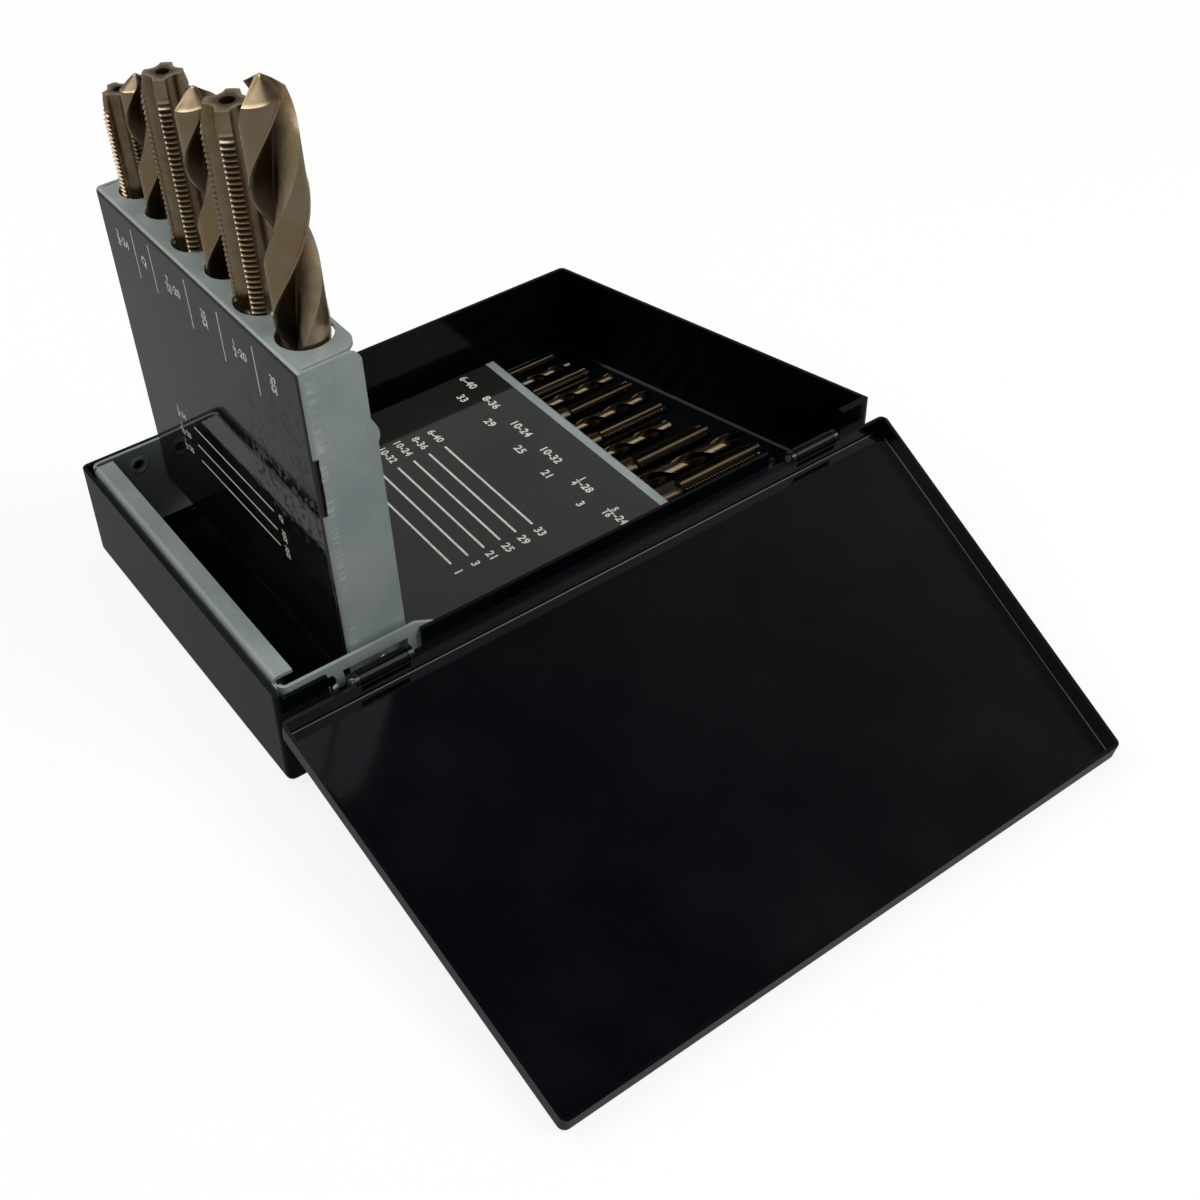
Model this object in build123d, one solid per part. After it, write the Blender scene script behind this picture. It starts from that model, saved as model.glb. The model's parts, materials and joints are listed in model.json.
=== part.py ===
from build123d import *
import math
import os

# A folding sheet-metal case for drills and taps. Millimetres, Z up, standing on z = 0.
# In the shop frame x runs along the hinge from the case's left end, y runs from the
# hinge wall to the back wall. save() moves it all to the middle of the underside.

# ---------------------------------------------------------------- driving sizes
case_depth = 104.0          # hinge wall to back wall, outside
front_length = 180.0        # along the hinge wall
back_length = 154.5         # along the back wall: the right end is slanted
wall_height = 28.8
hinge_wall_drop = 1.3       # the hinge wall stops this much below the others
sheet = 1.0
floor_bend = 2.4            # outside radius of the bend round the floor
corner_bend = 1.8           # outside radius of the upright corners
weld_tab = 9.0              # tab of the slanted end, spot-welded inside the hinge wall
running_gap = 0.3           # between pieces that move past each other
seat_gap = 0.3              # between a piece and what it rests on

lid_sheet = 0.9
lid_gap = 0.4               # lid skirt to case wall, all round
lid_skirt = 5.5             # outside height of the skirt
lid_bend = 1.4

pin_d = 2.0
pin_clear = 0.1             # pin to rolled knuckle
pin_overhang = 0.3
pin_drop = 3.9              # hinge axis below the top of the walls
hinge_left_x = 25.8
hinge_right_in = 23.2       # right hinge from the right end
knuckle_width = 12.4
ear_width = 1.4             # rolled ears of the lid either side of a knuckle
window_width = 25.0         # gap in the hinge wall round each hinge
window_sill = 21.4

bracket_sheet = 0.9
bracket_window_sill = 22.4  # the cheeks are cut away above this round a hinge
bracket_window_top = 25.7
bracket_window_x = 5.5
leg_out = 11.6              # middle of the hinge to the outer edge of the leg right of it
leg_width = 2.3
hook_out = 10.9             # middle of the hinge to the tip of the hook left of it
hook_width = 2.5
hook_tip_z = 19.8
hook_notch = 0.8            # room left of, below and right of the hook
bracket_inset = 1.3         # case wall to bracket web
bracket_foot = 3.7          # lower edge of the bracket's two cheeks
foot_relief = 4.2           # the web's foot stops this far from the long walls
lip_width = 5.3
lip_relief = 4.4
cheek_length = 42.7
cheek_bevel = 5.0
bracket_bend = 2.0
hole_embossed_d = 3.0
spare_hole_x = 14.6
spare_hole_z = 23.4

panel_sheet = 0.9
panel_bend = 1.2
large_pivot_x = 28.7
large_pivot_z = 20.2
large_pivot_in = 8.0        # pivot behind the printed face
large_above = 85.5          # pivot to the top of the panel
large_below = 2.8           # pivot to the bottom of the face
large_deep = 15.8
large_lean = 1.5            # past upright, degrees
large_side_gap = 2.9        # case wall's inner face to the panel's cheek
large_axis = 8.6            # axis of the bits behind the face
large_shelf_deep = 14.5
tap_shelf_below = 40.2      # top of the panel to the shelf that the taps stand on
tap_shelf_step = 9.4        # the far end of that shelf is this much lower
tap_shelf_flange = 6.0
bump_radius = 4.5
large_ear = 5.5             # the cheeks go this far below the pivot

small_pivot_x = 40.0
small_pivot_z = 6.5
small_pivot_in = 5.0        # pivot below the printed face
small_left = 5.0            # pivot to the left edge of the face
small_length = 89.7         # whole length of the panel
small_deep = 10.2
small_side_gap = 0.9        # to the cheeks of the large panel
small_axis = 5.3            # axis of the bits below the face
tap_butt = 32.4             # inside length from the end flange to the tap stop
drill_butts = (46.3, 57.2, 67.5)   # the same to the three steps of the drill stop

hole_clear = 0.5            # radial, bit to hole
rivet_d = 3.0
rivet_past = 1.0            # the rivet ends this far inside the cheek that turns on it
rivet_seat = 0.05           # its foot to the bracket that holds it
rivet_clear = 0.3           # radial, rivet to the cheek that turns on it

# bits: nominal diameter, overall length, cutting length, shank diameter (taps) and the
# place across the panel, as a share of the clear width between its cheeks
large_drills = {
    "drill_q": (8.43, 121.0, 87.0, 0.796),
    "drill_25_64": (9.92, 130.0, 95.0, 0.466),
    "drill_29_64": (11.51, 145.0, 108.0, 0.117),
}
large_taps = {
    "tap_3_8": (9.53, 74.6, 31.75, 9.68, 0.930),
    "tap_7_16": (11.11, 80.2, 41.0, 8.20, 0.624),
    "tap_1_2": (12.70, 85.7, 44.5, 9.32, 0.297),
}
low_tap = "tap_3_8"         # it stands on the lower end of the shelf
small_drills = {
    "drill_33": (2.87, 67.0, 35.0, 0.900),
    "drill_29": (3.45, 73.0, 41.0, 0.755),
    "drill_25": (3.80, 76.0, 44.0, 0.605),
    "drill_21": (4.04, 83.0, 54.0, 0.442),
    "drill_3": (5.41, 95.0, 62.0, 0.260),
    "drill_i": (6.91, 105.0, 72.0, 0.073),
}
small_taps = {
    "tap_6": (3.51, 50.8, 17.5, 3.58, 0.966),
    "tap_8": (4.17, 54.0, 19.0, 4.27, 0.827),
    "tap_10_coarse": (4.83, 60.3, 22.2, 4.93, 0.685),
    "tap_10_fine": (4.83, 60.3, 22.2, 4.93, 0.522),
    "tap_1_4": (6.35, 63.5, 25.4, 6.48, 0.349),
    "tap_5_16": (7.94, 69.0, 28.6, 8.08, 0.170),
}
drill_helix = 29.0          # degrees
drill_point = 118.0
drill_shank_relief = 0.98
flute_land = 38.0           # half width of a land, degrees
flute_web = 0.32            # web, as a share of the radius
flute_steps = 7             # flat steps in one turn of a flute
tap_land = 17.0             # half width of a tap's land, degrees
tap_root = 6.0              # half width of its flute's flat root, degrees
tap_core = 0.52             # radius of that root, as a share of the tap's radius
tap_lead = 4.0              # length of the tapered lead
tap_nose = 0.72             # the lead tapers to this share
tap_square = 6.0            # length of the driving square
tap_shoulder = 0.5          # slope from the square to the shank
tap_run_out = 1.5           # slope from the shank to the flutes
shank_sides = 12
tap_flat = 0.76             # across its flats, as a share of the shank

# ---------------------------------------------------------------- worked out
slant = (front_length - back_length) / case_depth
slant_secant = math.hypot(1.0, slant)
origin_x = (front_length + back_length) / 4
origin_y = case_depth / 2
hinge_right_x = front_length - hinge_right_in
overhang = lid_gap + lid_sheet
lid_top = wall_height + lid_gap + lid_sheet
skirt_edge = lid_top - lid_skirt
knuckle_bore = pin_d / 2 + pin_clear
knuckle_outer = knuckle_bore + sheet
ear_outer = knuckle_bore + lid_sheet
pin_y = -(lid_gap + knuckle_bore + lid_sheet)
pin_z = wall_height - pin_drop
hinge_wall_top = wall_height - hinge_wall_drop
bracket_y0 = sheet + seat_gap
bracket_y1 = case_depth - bracket_y0
bracket_x = sheet + bracket_inset
bracket_top = wall_height + 0.1
large_y0 = sheet + large_side_gap
large_y1 = case_depth - large_y0
small_y0 = large_y0 + panel_sheet + small_side_gap
small_y1 = case_depth - small_y0
small_top = small_pivot_z + small_pivot_in
small_x0 = small_pivot_x - small_left
small_x1 = small_x0 + small_length
small_bottom = small_top - small_deep


def lid_open_angle():
    """The swing, in degrees, that brings the lid's far edge down onto the floor."""
    reach_y = case_depth + overhang - lid_bend - pin_y
    reach_z = lid_top - lid_bend - pin_z
    reach = math.hypot(reach_y, reach_z)
    below = math.asin((pin_z - lid_bend) / reach) - math.atan2(reach_z, reach_y)
    return 180.0 + math.degrees(below)


# ---------------------------------------------------------------- small helpers
def box(x0, x1, y0, y1, z0, z1):
    """A block between two corners."""
    block = Solid.make_box(x1 - x0, y1 - y0, z1 - z0)
    return Part() + block.moved(Location((x0, y0, z0)))


def plan(grow, z0, z1):
    """A prism on the case's four-sided plan, grown outwards by grow."""
    def right(y):
        return front_length - slant * y + grow * slant_secant
    corners = [
        (-grow, -grow),
        (right(-grow), -grow),
        (right(case_depth + grow), case_depth + grow),
        (-grow, case_depth + grow),
    ]
    face = make_face(Polyline(*corners, close=True))
    return extrude(Pos(0, 0, z0) * face, z1 - z0)


def tray(grow, z0, z1, thick, upright, floor, mouth_up=True):
    """A folded tray: the plan prism with rounded bends, hollowed from its mouth."""
    outer = plan(grow, z0, z1)
    outer = fillet(outer.edges().filter_by(Axis.Z), upright)
    closed = outer.faces().sort_by(Axis.Z)[0 if mouth_up else -1]
    outer = fillet(closed.edges(), floor)
    lo, hi = (z0 + thick, z1 + 1) if mouth_up else (z0 - 1, z1 - thick)
    inner = plan(grow - thick, lo, hi)
    closed = inner.faces().sort_by(Axis.Z)[0 if mouth_up else -1]
    inner = fillet(closed.edges(), floor - thick)
    return outer - inner


def along_x(sketch_yz, x0, x1):
    """Extrudes a sketch drawn in (y, z) from x0 to x1."""
    return extrude(Plane.YZ.offset(x0) * sketch_yz, x1 - x0)


def along_y(sketch_xz, y0, y1):
    """Extrudes a sketch drawn in (x, z) from y0 to y1."""
    frame = Plane(origin=(0, y0, 0), x_dir=(1, 0, 0), z_dir=(0, -1, 0))
    return extrude(frame * sketch_xz, -(y1 - y0))


def disc(r, a, b):
    """A filled circle in a sketch, about (a, b)."""
    return Pos(a, b) * Circle(r)


def curl(r_in, r_out, gap_from, gap_to):
    """The rolled part of a knuckle in (y, z): a ring about the pin with a wedge left out."""
    ring = disc(r_out, pin_y, pin_z) - disc(r_in, pin_y, pin_z)
    reach = 2 * r_out
    mouth = [(pin_y, pin_z)]
    for k in range(3):
        a = math.radians(gap_from + (gap_to - gap_from) * k / 2)
        mouth.append((pin_y + reach * math.cos(a), pin_z + reach * math.sin(a)))
    return ring - make_face(Polyline(*mouth, close=True))


def hinge_spans(centre):
    """Start and end in x of a knuckle and of the two ears beside it."""
    half = knuckle_width / 2
    ear0 = half + running_gap
    return (
        (centre - half, centre + half),
        (centre - ear0 - ear_width, centre - ear0),
        (centre + ear0, centre + ear0 + ear_width),
    )


# ---------------------------------------------------------------- case and lid
def make_base_box():
    """Tray with a slanted right end, a lower hinge wall, two windows and two knuckles."""
    case = tray(0, 0, wall_height, sheet, corner_bend, floor_bend)
    tab_x = front_length - sheet - weld_tab
    case -= box(corner_bend, tab_x, -1, sheet + 0.01, hinge_wall_top, wall_height + 1)
    tab = box(tab_x, front_length, sheet, 2 * sheet, floor_bend, wall_height)
    case += tab & plan(0.0, 0, wall_height)
    for centre in (hinge_left_x, hinge_right_x):
        half = window_width / 2
        case -= box(centre - half, centre + half, -1, sheet, window_sill, wall_height)
        (x0, x1), *_ = hinge_spans(centre)
        riser = [
            (0, window_sill - 0.5),
            (sheet, window_sill - 0.5),
            (sheet, pin_z - knuckle_bore - sheet),
            (0, pin_z - knuckle_bore),
            (pin_y, pin_z - knuckle_bore),
            (pin_y, pin_z - knuckle_outer),
            (0, pin_z - knuckle_outer),
        ]
        profile = make_face(Polyline(*riser, close=True))
        profile += curl(knuckle_bore, knuckle_outer, -62, -24)
        case += along_x(profile, x0, x1)
    return case


def make_lid():
    """Shallow lid with a skirt all round, notched for the knuckles, with rolled ears."""
    lid = tray(overhang, skirt_edge, lid_top, lid_sheet, corner_bend, lid_bend, False)
    notch = knuckle_outer + running_gap
    for centre in (hinge_left_x, hinge_right_x):
        (x0, x1), *ears = hinge_spans(centre)
        lid -= box(x0 - running_gap, x1 + running_gap, -overhang - 1, 0, 0,
                   pin_z + notch - 0.2)
        strip = make_face(Polyline(
            (-overhang, pin_z), (-lid_gap, pin_z),
            (-lid_gap, skirt_edge + 1), (-overhang, skirt_edge + 1), close=True))
        profile = strip + curl(knuckle_bore, ear_outer, 1, 66)
        for e0, e1 in ears:
            lid += along_x(profile, e0, e1)
    hinge_line = Axis((0, pin_y, pin_z), (1, 0, 0))
    return lid.rotate(hinge_line, lid_open_angle())


def make_hinge_pin(centre):
    """Plain wire pin through an ear, the knuckle and the other ear."""
    _, (x0, _), (_, x1) = hinge_spans(centre)
    x0 -= pin_overhang
    x1 += pin_overhang
    return along_x(disc(pin_d / 2, pin_y, pin_z), x0, x1)


# ---------------------------------------------------------------- bracket
def make_end_bracket():
    """Bent bracket: web along the left end, lip on top, a cheek along each long wall."""
    t = bracket_sheet
    right = cheek_length + 2
    outer = box(bracket_x, right, bracket_y0, bracket_y1, seat_gap + sheet, bracket_top)
    folds = outer.edges().filter_by(Axis.Z).sort_by(Axis.X)[:2]
    outer = fillet(folds, bracket_bend)
    inner = box(bracket_x + t, right + 1, bracket_y0 + t, bracket_y1 - t,
                0, bracket_top + 1)
    folds = inner.edges().filter_by(Axis.Z).sort_by(Axis.X)[:2]
    inner = fillet(folds, bracket_bend - t)
    bracket = outer - inner
    # the web ends below the lip's fold, which has a relief at each corner
    fold = bracket_bend * 0.75
    bracket -= box(0, bracket_x + t + 0.01, bracket_y0 + bracket_bend,
                   bracket_y1 - bracket_bend, bracket_top - fold, bracket_top + 1)
    bracket += along_y(lip_profile(fold), bracket_y0 + lip_relief,
                       bracket_y1 - bracket_bend)
    # outline of both cheeks: bevelled end, leg either side of the hinge window
    end = cheek_length
    leg_x = hinge_left_x + leg_out
    keep_out = [
        (end - cheek_bevel, bracket_top + 1),
        (right + 1, bracket_top + 1),
        (right + 1, 0),
        (end + 1, 0),
        (end + 1, 18.0),
        (leg_x, 20.0),
        (leg_x, 25.3),
        (end, 25.7),
        (end, 26.5),
        (end - cheek_bevel, bracket_top),
    ]
    cutter = make_face(Polyline(*keep_out, close=True))
    bracket -= along_y(cutter, 0, case_depth)
    bracket -= box(bracket_x + t + 2, right + 1, 0, case_depth, 0, bracket_foot)
    for y0 in (0, case_depth - foot_relief):
        bracket -= box(0, right, y0, y0 + foot_relief, 0, bracket_foot)
    # window round the hinge in the near cheek, deeper where the hook hangs in it
    hook_x = hinge_left_x - hook_out
    near = (bracket_y0 - 1, bracket_y0 + t + 1)
    bracket -= box(bracket_window_x, leg_x - leg_width, *near,
                   bracket_window_sill, bracket_window_top)
    bracket -= box(hook_x - hook_notch, hook_x + hook_width + 2 * hook_notch, *near,
                   hook_tip_z - hook_notch, bracket_window_top)
    return bracket + make_hook(hook_x) - make_spare_hole()


def lip_profile(fold):
    """Section in (x, z) through the lip and its fold, down into the web."""
    t = bracket_sheet
    x0, x1, top = bracket_x, bracket_x + lip_width, bracket_top
    bend = [(x0, top - fold - t), (x0, top), (x1, top), (x1, top - t),
            (x0 + t, top - t), (x0 + t, top - fold - t)]
    section = make_face(Polyline(*bend, close=True))
    section = fillet(section.vertices().sort_by_distance((x0, top))[0], fold)
    return fillet(section.vertices().sort_by_distance((x0 + t, top - t))[0], fold - t)


def make_hook(x0):
    """Flat J left of the hinge, cut in the sheet: a leg with its foot turned to the left."""
    x1, top, tip = x0 + hook_width, bracket_window_top, hook_tip_z
    foot = tip + 1.5
    outline = [
        (x0 + 0.4, top + 0.4), (x1 + 0.4, top + 0.4), (x1 + 0.9, tip + 2.5),
        (x1 + 0.1, tip + 0.4), (x0 + 0.2, tip), (x0, foot), (x0 + 1.3, foot + 0.5),
        (x0 + 1.3, top - 1.8), (x0 + 0.4, top - 0.4),
    ]
    shape = make_face(Polyline(*outline, close=True))
    for place, radius in ((outline[2], 1.6), (outline[3], 1.2), (outline[4], 0.5),
                          (outline[5], 0.5), (outline[6], 0.4)):
        shape = fillet(shape.vertices().sort_by_distance(place)[0], radius)
    return along_y(shape, bracket_y0, bracket_y0 + bracket_sheet)


def make_spare_hole():
    """The spare hole in the back cheek."""
    spare = disc(hole_embossed_d / 2, spare_hole_x, spare_hole_z)
    return along_y(spare, case_depth / 2, case_depth)


# ---------------------------------------------------------------- panels
def stand_up(shape):
    """From the large panel's own frame (x behind the face, z up from the pivot)."""
    shifted = Pos(-large_pivot_in, 0, 0) * shape
    tilt = Rot(0, -large_lean, 0)
    return Pos(large_pivot_x, 0, large_pivot_z) * (tilt * shifted)


def large_place(share):
    """Place in y of a bit in the large panel."""
    y0, y1 = large_y0 + panel_sheet, large_y1 - panel_sheet
    return y0 + share * (y1 - y0)


def small_place(share):
    """Place in y of a bit in the small panel."""
    y0, y1 = small_y0 + panel_sheet, small_y1 - panel_sheet
    return y0 + share * (y1 - y0)


def make_large_panel():
    """Deep folded panel: printed face, holed top, shelf for the drills, two cheeks."""
    t = panel_sheet
    top, low = large_above, -large_below
    block = box(0, large_deep, large_y0, large_y1, low, top)
    face = block.faces().sort_by(Axis.X)[0]
    block = fillet(face.edges(), panel_bend)
    hollow = box(t, large_deep + 1, large_y0 + t, large_y1 - t, low + t, top - t)
    bend = panel_bend + 0.6
    panel = (block - hollow) & box(-1, bend, 0, case_depth, low - 1, top + 1)
    gap = running_gap
    # top, with round back corners and an open seam at each cheek
    holed = box(bend - 0.2, large_deep, large_y0 + t + gap, large_y1 - t - gap, top - t, top)
    corners = holed.edges().filter_by(Axis.Z).sort_by(Axis.X)[-2:]
    panel += fillet(corners, 5.0)
    shelf = box(bend - 0.2, large_shelf_deep, large_y0 + t, large_y1 - t, low, low + t)
    panel += shelf
    for y0 in (large_y0, large_y1 - t):
        panel += make_large_cheek(bend - 0.2, y0)
    for bits, at in ((large_drills, 3), (large_taps, 4)):
        for size in bits.values():
            r = size[0] / 2 + hole_clear
            hole = Pos(large_axis, large_place(size[at])) * Circle(r)
            panel -= extrude(Pos(0, 0, top - t - 1) * hole, t + 2)
    pivot = disc(rivet_d / 2 + rivet_clear, large_pivot_in, 0)
    panel -= along_y(pivot, large_y0 - 1, large_y0 + t + 1)
    panel -= along_y(pivot, large_y1 - t - 1, large_y1 + 1)
    return stand_up(panel)


def make_large_cheek(x0, y0):
    """One cheek of the large panel: narrow at the top, a round bump, wide below."""
    top, deep, narrow = large_above, large_deep, large_deep - 1.0
    bump = top - 22.5
    outline = [
        (x0, top), (narrow, top), (narrow, bump + bump_radius),
        (deep, bump + bump_radius - 2), (deep, 2.5),
        (deep - 3.5, -large_ear), (3.5, -large_ear), (x0, -large_below),
    ]
    cheek = make_face(Polyline(*outline, close=True))
    cheek += disc(bump_radius, narrow - bump_radius + 1.6, bump)
    cheek = along_y(cheek, y0, y0 + panel_sheet)
    upright = cheek.edges().filter_by(Axis.Y)
    back_top = upright.sort_by_distance((narrow, y0, top))[0]
    return fillet(back_top, 3.0)


def tap_shelf_riser():
    """Place in y of the shelf's step: midway between the far drill and the far tap."""
    drill_d, *_, drill_share = large_drills["drill_q"]
    tap_d, *_, tap_share = large_taps[low_tap]
    drill_side = large_place(drill_share) + drill_d / 2 + hole_clear
    tap_side = large_place(tap_share) - tap_d / 2
    return (drill_side + tap_side + panel_sheet) / 2


def make_large_tap_shelf():
    """Stepped plate that the large taps stand on, slotted for the drills that pass it."""
    t = panel_sheet
    z1 = large_above - tap_shelf_below
    z0 = z1 - tap_shelf_step
    y0 = large_y0 + t + running_gap
    y1 = large_y1 - t - running_gap
    riser = tap_shelf_riser()
    section = [
        (y0, z1), (riser, z1), (riser, z0), (y1, z0),
        (y1, z0 - t), (riser - t, z0 - t), (riser - t, z1 - t), (y0, z1 - t),
    ]
    shelf = along_x(make_face(Polyline(*section, close=True)), t, large_deep - 1.2)
    shelf += box(t, 2 * t, y0, riser, z1 - tap_shelf_flange, z1)
    shelf += box(t, 2 * t, riser - t, y1, z0 - tap_shelf_flange, z0)
    for size in large_drills.values():
        r = size[0] / 2 + hole_clear
        y = large_place(size[3])
        slot = Circle(r) + Pos(large_deep / 2, 0) * Rectangle(large_deep, 2 * r)
        shelf -= extrude(Pos(large_axis, y, z1 - t - 1) * slot, t + 2)
    return stand_up(shelf)


def make_small_panel():
    """Shallow folded panel that lies flat: printed face, holed end flange, two cheeks."""
    t = panel_sheet
    block = box(small_x0, small_x1, small_y0, small_y1, small_bottom, small_top)
    top = block.faces().sort_by(Axis.Z)[-1]
    block = fillet(top.edges().sort_by(Axis.X)[1:], panel_bend)
    hollow = box(small_x0 - 1, small_x1 - t, small_y0 + t, small_y1 - t,
                 small_bottom - 1, small_top - t)
    panel = block - hollow
    r = small_pivot_in
    cheek_end = box(small_x0 - 1, small_pivot_x, small_y0 - 1, small_y1 + 1,
                    small_bottom - 1, small_top - panel_bend)
    cheek_end -= along_y(disc(r, small_pivot_x, small_pivot_z), 0, case_depth)
    panel -= cheek_end & box(0, small_pivot_x, 0, case_depth, 0, small_pivot_z)
    # open seams between the end flange and the cheeks
    for y in (small_y0 + t, small_y1 - t - running_gap):
        panel -= box(small_x1 - t - 0.01, small_x1 + 1, y, y + running_gap,
                     0, small_top - panel_bend)
    for bits, at in ((small_drills, 3), (small_taps, 4)):
        for size in bits.values():
            hole = disc(size[0] / 2 + hole_clear, small_place(size[at]),
                        small_top - small_axis)
            panel -= along_x(hole, small_x1 - t - 1, small_x1 + 1)
    pivot = disc(rivet_d / 2 + rivet_clear, small_pivot_x, small_pivot_z)
    return panel - along_y(pivot, 0, case_depth)


def make_small_tap_stop():
    """Comb across the small panel that the butts of the taps rest on."""
    t = panel_sheet
    x1 = small_x1 - tap_butt
    strip = box(x1 - t, x1, small_y0 + t, small_y1 - t, small_bottom + t, small_top - t)
    for size in small_drills.values():
        r = size[0] / 2 + hole_clear
        y = small_place(size[3])
        strip -= box(x1 - t - 1, x1 + 1, y - r, y + r, 0, small_top - small_axis + r)
    return strip


def drill_steps():
    """Where the stepped strip stands behind each drill: {name: x of the stop}."""
    places = {}
    for i, name in enumerate(small_drills):
        step = 0 if i < 3 else (1 if i < 5 else 2)
        places[name] = small_x1 - drill_butts[step]
    return places


def make_small_drill_stop():
    """Strip folded into three steps, so that drills of three lengths end level."""
    t = panel_sheet
    steps = drill_steps()
    names = list(small_drills)
    ys = [small_place(small_drills[n][3]) for n in names]
    breaks = [small_y1 - t, (ys[2] + ys[3]) / 2, (ys[4] + ys[5]) / 2, small_y0 + t]
    xs = [steps[names[0]], steps[names[3]], steps[names[5]]]
    plan_line = [(xs[0], breaks[0]), (xs[0], breaks[1]), (xs[1], breaks[1]),
                 (xs[1], breaks[2]), (xs[2], breaks[2]), (xs[2], breaks[3])]
    z0, z1 = small_bottom + t, small_top - t
    strip = Part()
    for (xa, ya), (xb, yb) in zip(plan_line, plan_line[1:]):
        strip += box(min(xa, xb) - t, max(xa, xb), min(ya, yb), max(ya, yb) + (
            t if xa != xb else 0), z0, z1)
    return strip


def make_pivots(x, z, cheek_y0):
    """Two studs on the bracket's cheeks that a panel turns on."""
    foot = bracket_y0 + bracket_sheet + rivet_seat
    end = cheek_y0 + panel_sheet + rivet_past
    near = along_y(disc(rivet_d / 2, x, z), foot, end)
    return near, near.mirror(Plane.XZ.offset(-case_depth / 2))


# ---------------------------------------------------------------- bits
def corner(rad, deg, z):
    """A corner of a bit's section, at a radius and an angle about its axis."""
    a = math.radians(deg)
    return Vector(rad * math.cos(a), rad * math.sin(a), z)


def facet(*corners):
    """One flat face between corners."""
    return Face(Wire.make_polygon(list(corners)))


def skin(rings, tip=None):
    """The solid inside a stack of equal-sided rings, closed flat or in a point."""
    n = len(rings[0])
    faces = [facet(*rings[0][::-1])]
    for low, high in zip(rings, rings[1:]):
        for i in range(n):
            a, b, c, e = low[i], low[(i + 1) % n], high[(i + 1) % n], high[i]
            if abs((b - a).cross(c - a).dot(e - a)) < 1e-6:
                faces.append(facet(a, b, c, e))
            else:
                faces.append(facet(a, b, c))
                faces.append(facet(a, c, e))
    last = rings[-1]
    if tip is None:
        faces.append(facet(*last))
    else:
        faces += [facet(last[i], last[(i + 1) % n], tip) for i in range(n)]
    return Part() + Solid(Shell(faces))


def make_drill(d, length, flute):
    """Two-fluted twist drill, butt at z = 0 and point up."""
    r = d / 2
    half = [(r, -flute_land), (r, 0), (r, flute_land), (flute_web * r, 90)]
    section = half + [(rad, deg + 180) for rad, deg in half]
    pitch = math.pi * d / math.tan(math.radians(drill_helix))
    cone = r / math.tan(math.radians(drill_point / 2))
    straight = flute - cone
    steps = max(2, round(flute_steps * straight / pitch))
    rings = []
    for k in range(steps):
        up = straight * k / steps
        turn = 360 * up / pitch
        rings.append([corner(rad, deg + turn, length - flute + up)
                      for rad, deg in section])
    turn = 360 * straight / pitch
    rings.append([corner(rad, deg + turn, length - cone * rad / r)
                  for rad, deg in section])
    shank = extrude(RegularPolygon(r * drill_shank_relief, shank_sides), length - flute)
    return shank + skin(rings, Vector(0, 0, length))


def make_tap(d, length, cut, shank_d):
    """Four-fluted hand tap, square at the butt (z = 0), tapered lead up."""
    r = d / 2
    neck = length - cut - d * 0.4
    turns, fluted = [], []
    for k in range(4):
        land, root = 90 * k, 90 * k + 45
        turns += [land - tap_land, land + tap_land, root - tap_root, root + tap_root]
        fluted += [r, r, tap_core * r, tap_core * r]
    round_shank = [shank_d / 2] * len(turns)
    square = []
    for deg in turns:
        a = math.radians(deg)
        across = shank_d * tap_flat / 2 / max(abs(math.cos(a)), abs(math.sin(a)))
        square.append(min(across, shank_d / 2))
    stack = [
        (0, square, 1), (tap_square, square, 1), (tap_square + tap_shoulder, round_shank, 1),
        (neck, round_shank, 1), (neck + tap_run_out, fluted, 1),
        (length - tap_lead, fluted, 1), (length, fluted, tap_nose),
    ]
    return skin([[corner(rad * share, deg, z) for rad, deg in zip(radii, turns)]
                 for z, radii, share in stack])


def stand_bit(bit, y, butt):
    """Puts a bit in the large panel, its butt at butt above the pivot."""
    return stand_up(Pos(large_axis, y, butt) * bit)


def lay_bit(bit, y, x):
    """Lays a bit in the small panel, its butt at x and its tip to the right."""
    return Pos(x, y, small_top - small_axis) * (Rot(0, 90, 0) * bit)


# ---------------------------------------------------------------- the whole case
def save(node, *solids):
    """Writes one named node, moved to the frame at the middle of the underside."""
    moved = []
    for shape in solids:
        for solid in shape.solids():
            moved.append(solid.moved(Location((-origin_x, -origin_y, 0))))
    whole = moved[0] if len(moved) == 1 else Compound(children=moved)
    whole.label = node
    export_step(whole, f"parts/{node}.step")


def main():
    os.makedirs("parts", exist_ok=True)
    save("base_box", make_base_box())
    save("lid", make_lid())
    save("hinge_pin_left", make_hinge_pin(hinge_left_x))
    save("hinge_pin_right", make_hinge_pin(hinge_right_x))
    save("end_bracket", make_end_bracket())
    save("large_bit_panel", make_large_panel())
    save("large_tap_shelf", make_large_tap_shelf())
    save("large_panel_pivots", *make_pivots(large_pivot_x, large_pivot_z, large_y0))
    save("small_bit_panel", make_small_panel())
    save("small_tap_stop", make_small_tap_stop())
    save("small_drill_stop", make_small_drill_stop())
    save("small_panel_pivots", *make_pivots(small_pivot_x, small_pivot_z, small_y0))
    on_floor = panel_sheet - large_below + seat_gap / 3
    for name, (d, length, flute, share) in large_drills.items():
        save(name, stand_bit(make_drill(d, length, flute), large_place(share), on_floor))
    on_shelf = large_above - tap_shelf_below + seat_gap / 3
    for name, (d, length, cut, shank_d, share) in large_taps.items():
        butt = on_shelf - tap_shelf_step if name == low_tap else on_shelf
        save(name, stand_bit(make_tap(d, length, cut, shank_d), large_place(share), butt))
    steps = drill_steps()
    for name, (d, length, flute, share) in small_drills.items():
        bit = make_drill(d, length, flute)
        save(name, lay_bit(bit, small_place(share), steps[name] + seat_gap / 3))
    tap_x = small_x1 - tap_butt + seat_gap / 3
    for name, (d, length, cut, shank_d, share) in small_taps.items():
        save(name, lay_bit(make_tap(d, length, cut, shank_d), small_place(share), tap_x))


main()
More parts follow.
